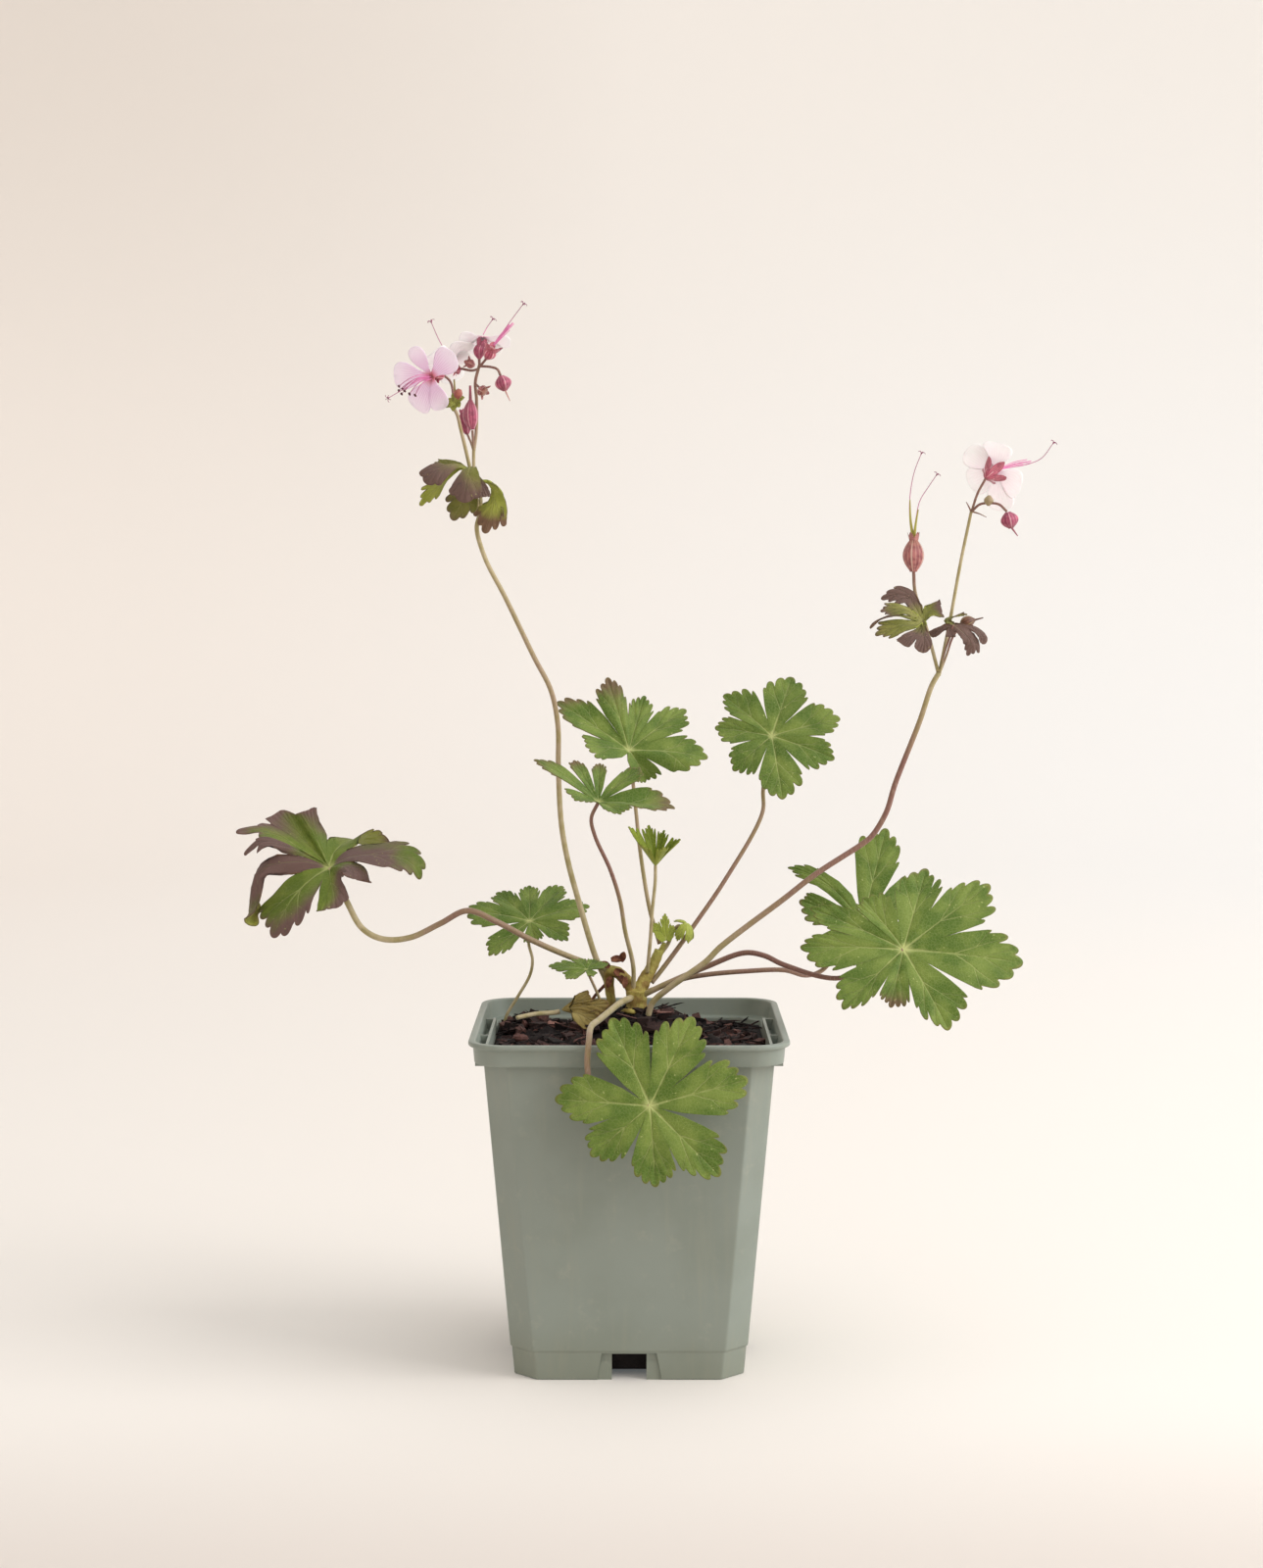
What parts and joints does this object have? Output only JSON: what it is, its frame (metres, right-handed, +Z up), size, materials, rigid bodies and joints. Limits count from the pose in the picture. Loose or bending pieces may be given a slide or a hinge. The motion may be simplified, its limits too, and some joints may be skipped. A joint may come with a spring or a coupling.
{
  "type": "hardy geranium in a square pot",
  "caption": "Hardy geranium with lobed leaves, arching stalks and pink blooms, growing in a tapered square plastic nursery pot.",
  "frame": {"origin": "middle of the pot's underside, on the surface that the pot stands on", "axes": "+Z up out of the pot, -Y the side that the hanging leaf falls over, +X to the right seen from that side"},
  "size_m": [0.2901, 0.1244, 0.3712],
  "materials": {
    "pot": "moulded grey-green polypropylene, satin",
    "compost": "dark damp peat-free compost with reddish bark chips",
    "leaf": "softly hairy green leaf, pale veins",
    "young_leaf": "fresh yellow-green leaf",
    "bronze_leaf": "green leaf flushed purple-brown",
    "dead_leaf": "dry olive-brown leaf",
    "stalk": "finely hairy stalk, olive to dull red",
    "crown": "woody olive-brown stem",
    "dry": "dry red-brown scales",
    "pink_petal": "lilac-pink petal with fine veins",
    "pale_petal": "near-white pink petal",
    "calyx": "rose-red ribbed calyx",
    "thread": "pink filament"
  },
  "bodies": {
    "root": {"pot": "pot", "compost": "compost", "crown": "crown", "dry_stick": "dry", "dry_scales": "dry", "leaf_left": "leaf", "leaf_left_stalk": "stalk", "leaf_left_low": "leaf", "leaf_left_low_stalk": "stalk", "leaf_small": "leaf", "leaf_small_stalk": "stalk", "leaf_top_middle": "leaf", "leaf_top_middle_stalk": "stalk", "leaf_under_middle": "leaf", "leaf_under_middle_stalk": "stalk", "leaf_top_right": "leaf", "leaf_top_right_stalk": "stalk", "leaf_right_back": "leaf", "leaf_right_back_stalk": "stalk", "leaf_right_front": "leaf", "leaf_right_front_stalk": "stalk", "leaf_hanging": "leaf", "leaf_hanging_stalk": "stalk", "leaf_young": "young_leaf", "leaf_young_stalk": "stalk", "leaf_bud": "young_leaf", "leaf_curled": "young_leaf", "leaf_curled_stalk": "stalk", "dead_leaf": "dead_leaf", "dead_leaf_stalk": "stalk", "flower_stem_left": "stalk", "flower_stem_right": "stalk", "bract_leaf_left": "bronze_leaf", "bract_leaf_left_small": "bronze_leaf", "bract_leaf_right": "bronze_leaf", "bract_leaf_right_small": "bronze_leaf", "bloom_left_petals": "pink_petal", "bloom_left_calyx": "calyx", "bloom_left_threads": "thread", "bloom_back_petals": "pale_petal", "bloom_back_calyx": "calyx", "bloom_back_threads": "thread", "bloom_top_petals": "pale_petal", "bloom_top_calyx": "calyx", "bloom_top_threads": "thread", "calyx_open": "calyx", "calyx_open_threads": "thread", "calyx_outer": "calyx", "calyx_inner": "calyx", "bud_left": "calyx", "spent_top": "calyx", "spent_side": "calyx", "bract_left": "young_leaf", "calyx_seed": "calyx", "calyx_seed_styles": "thread", "bloom_right_petals": "pale_petal", "bloom_right_calyx": "calyx", "bloom_right_threads": "thread", "bud_right": "calyx", "withered_head": "bronze_leaf"}
  },
  "joints": []
}
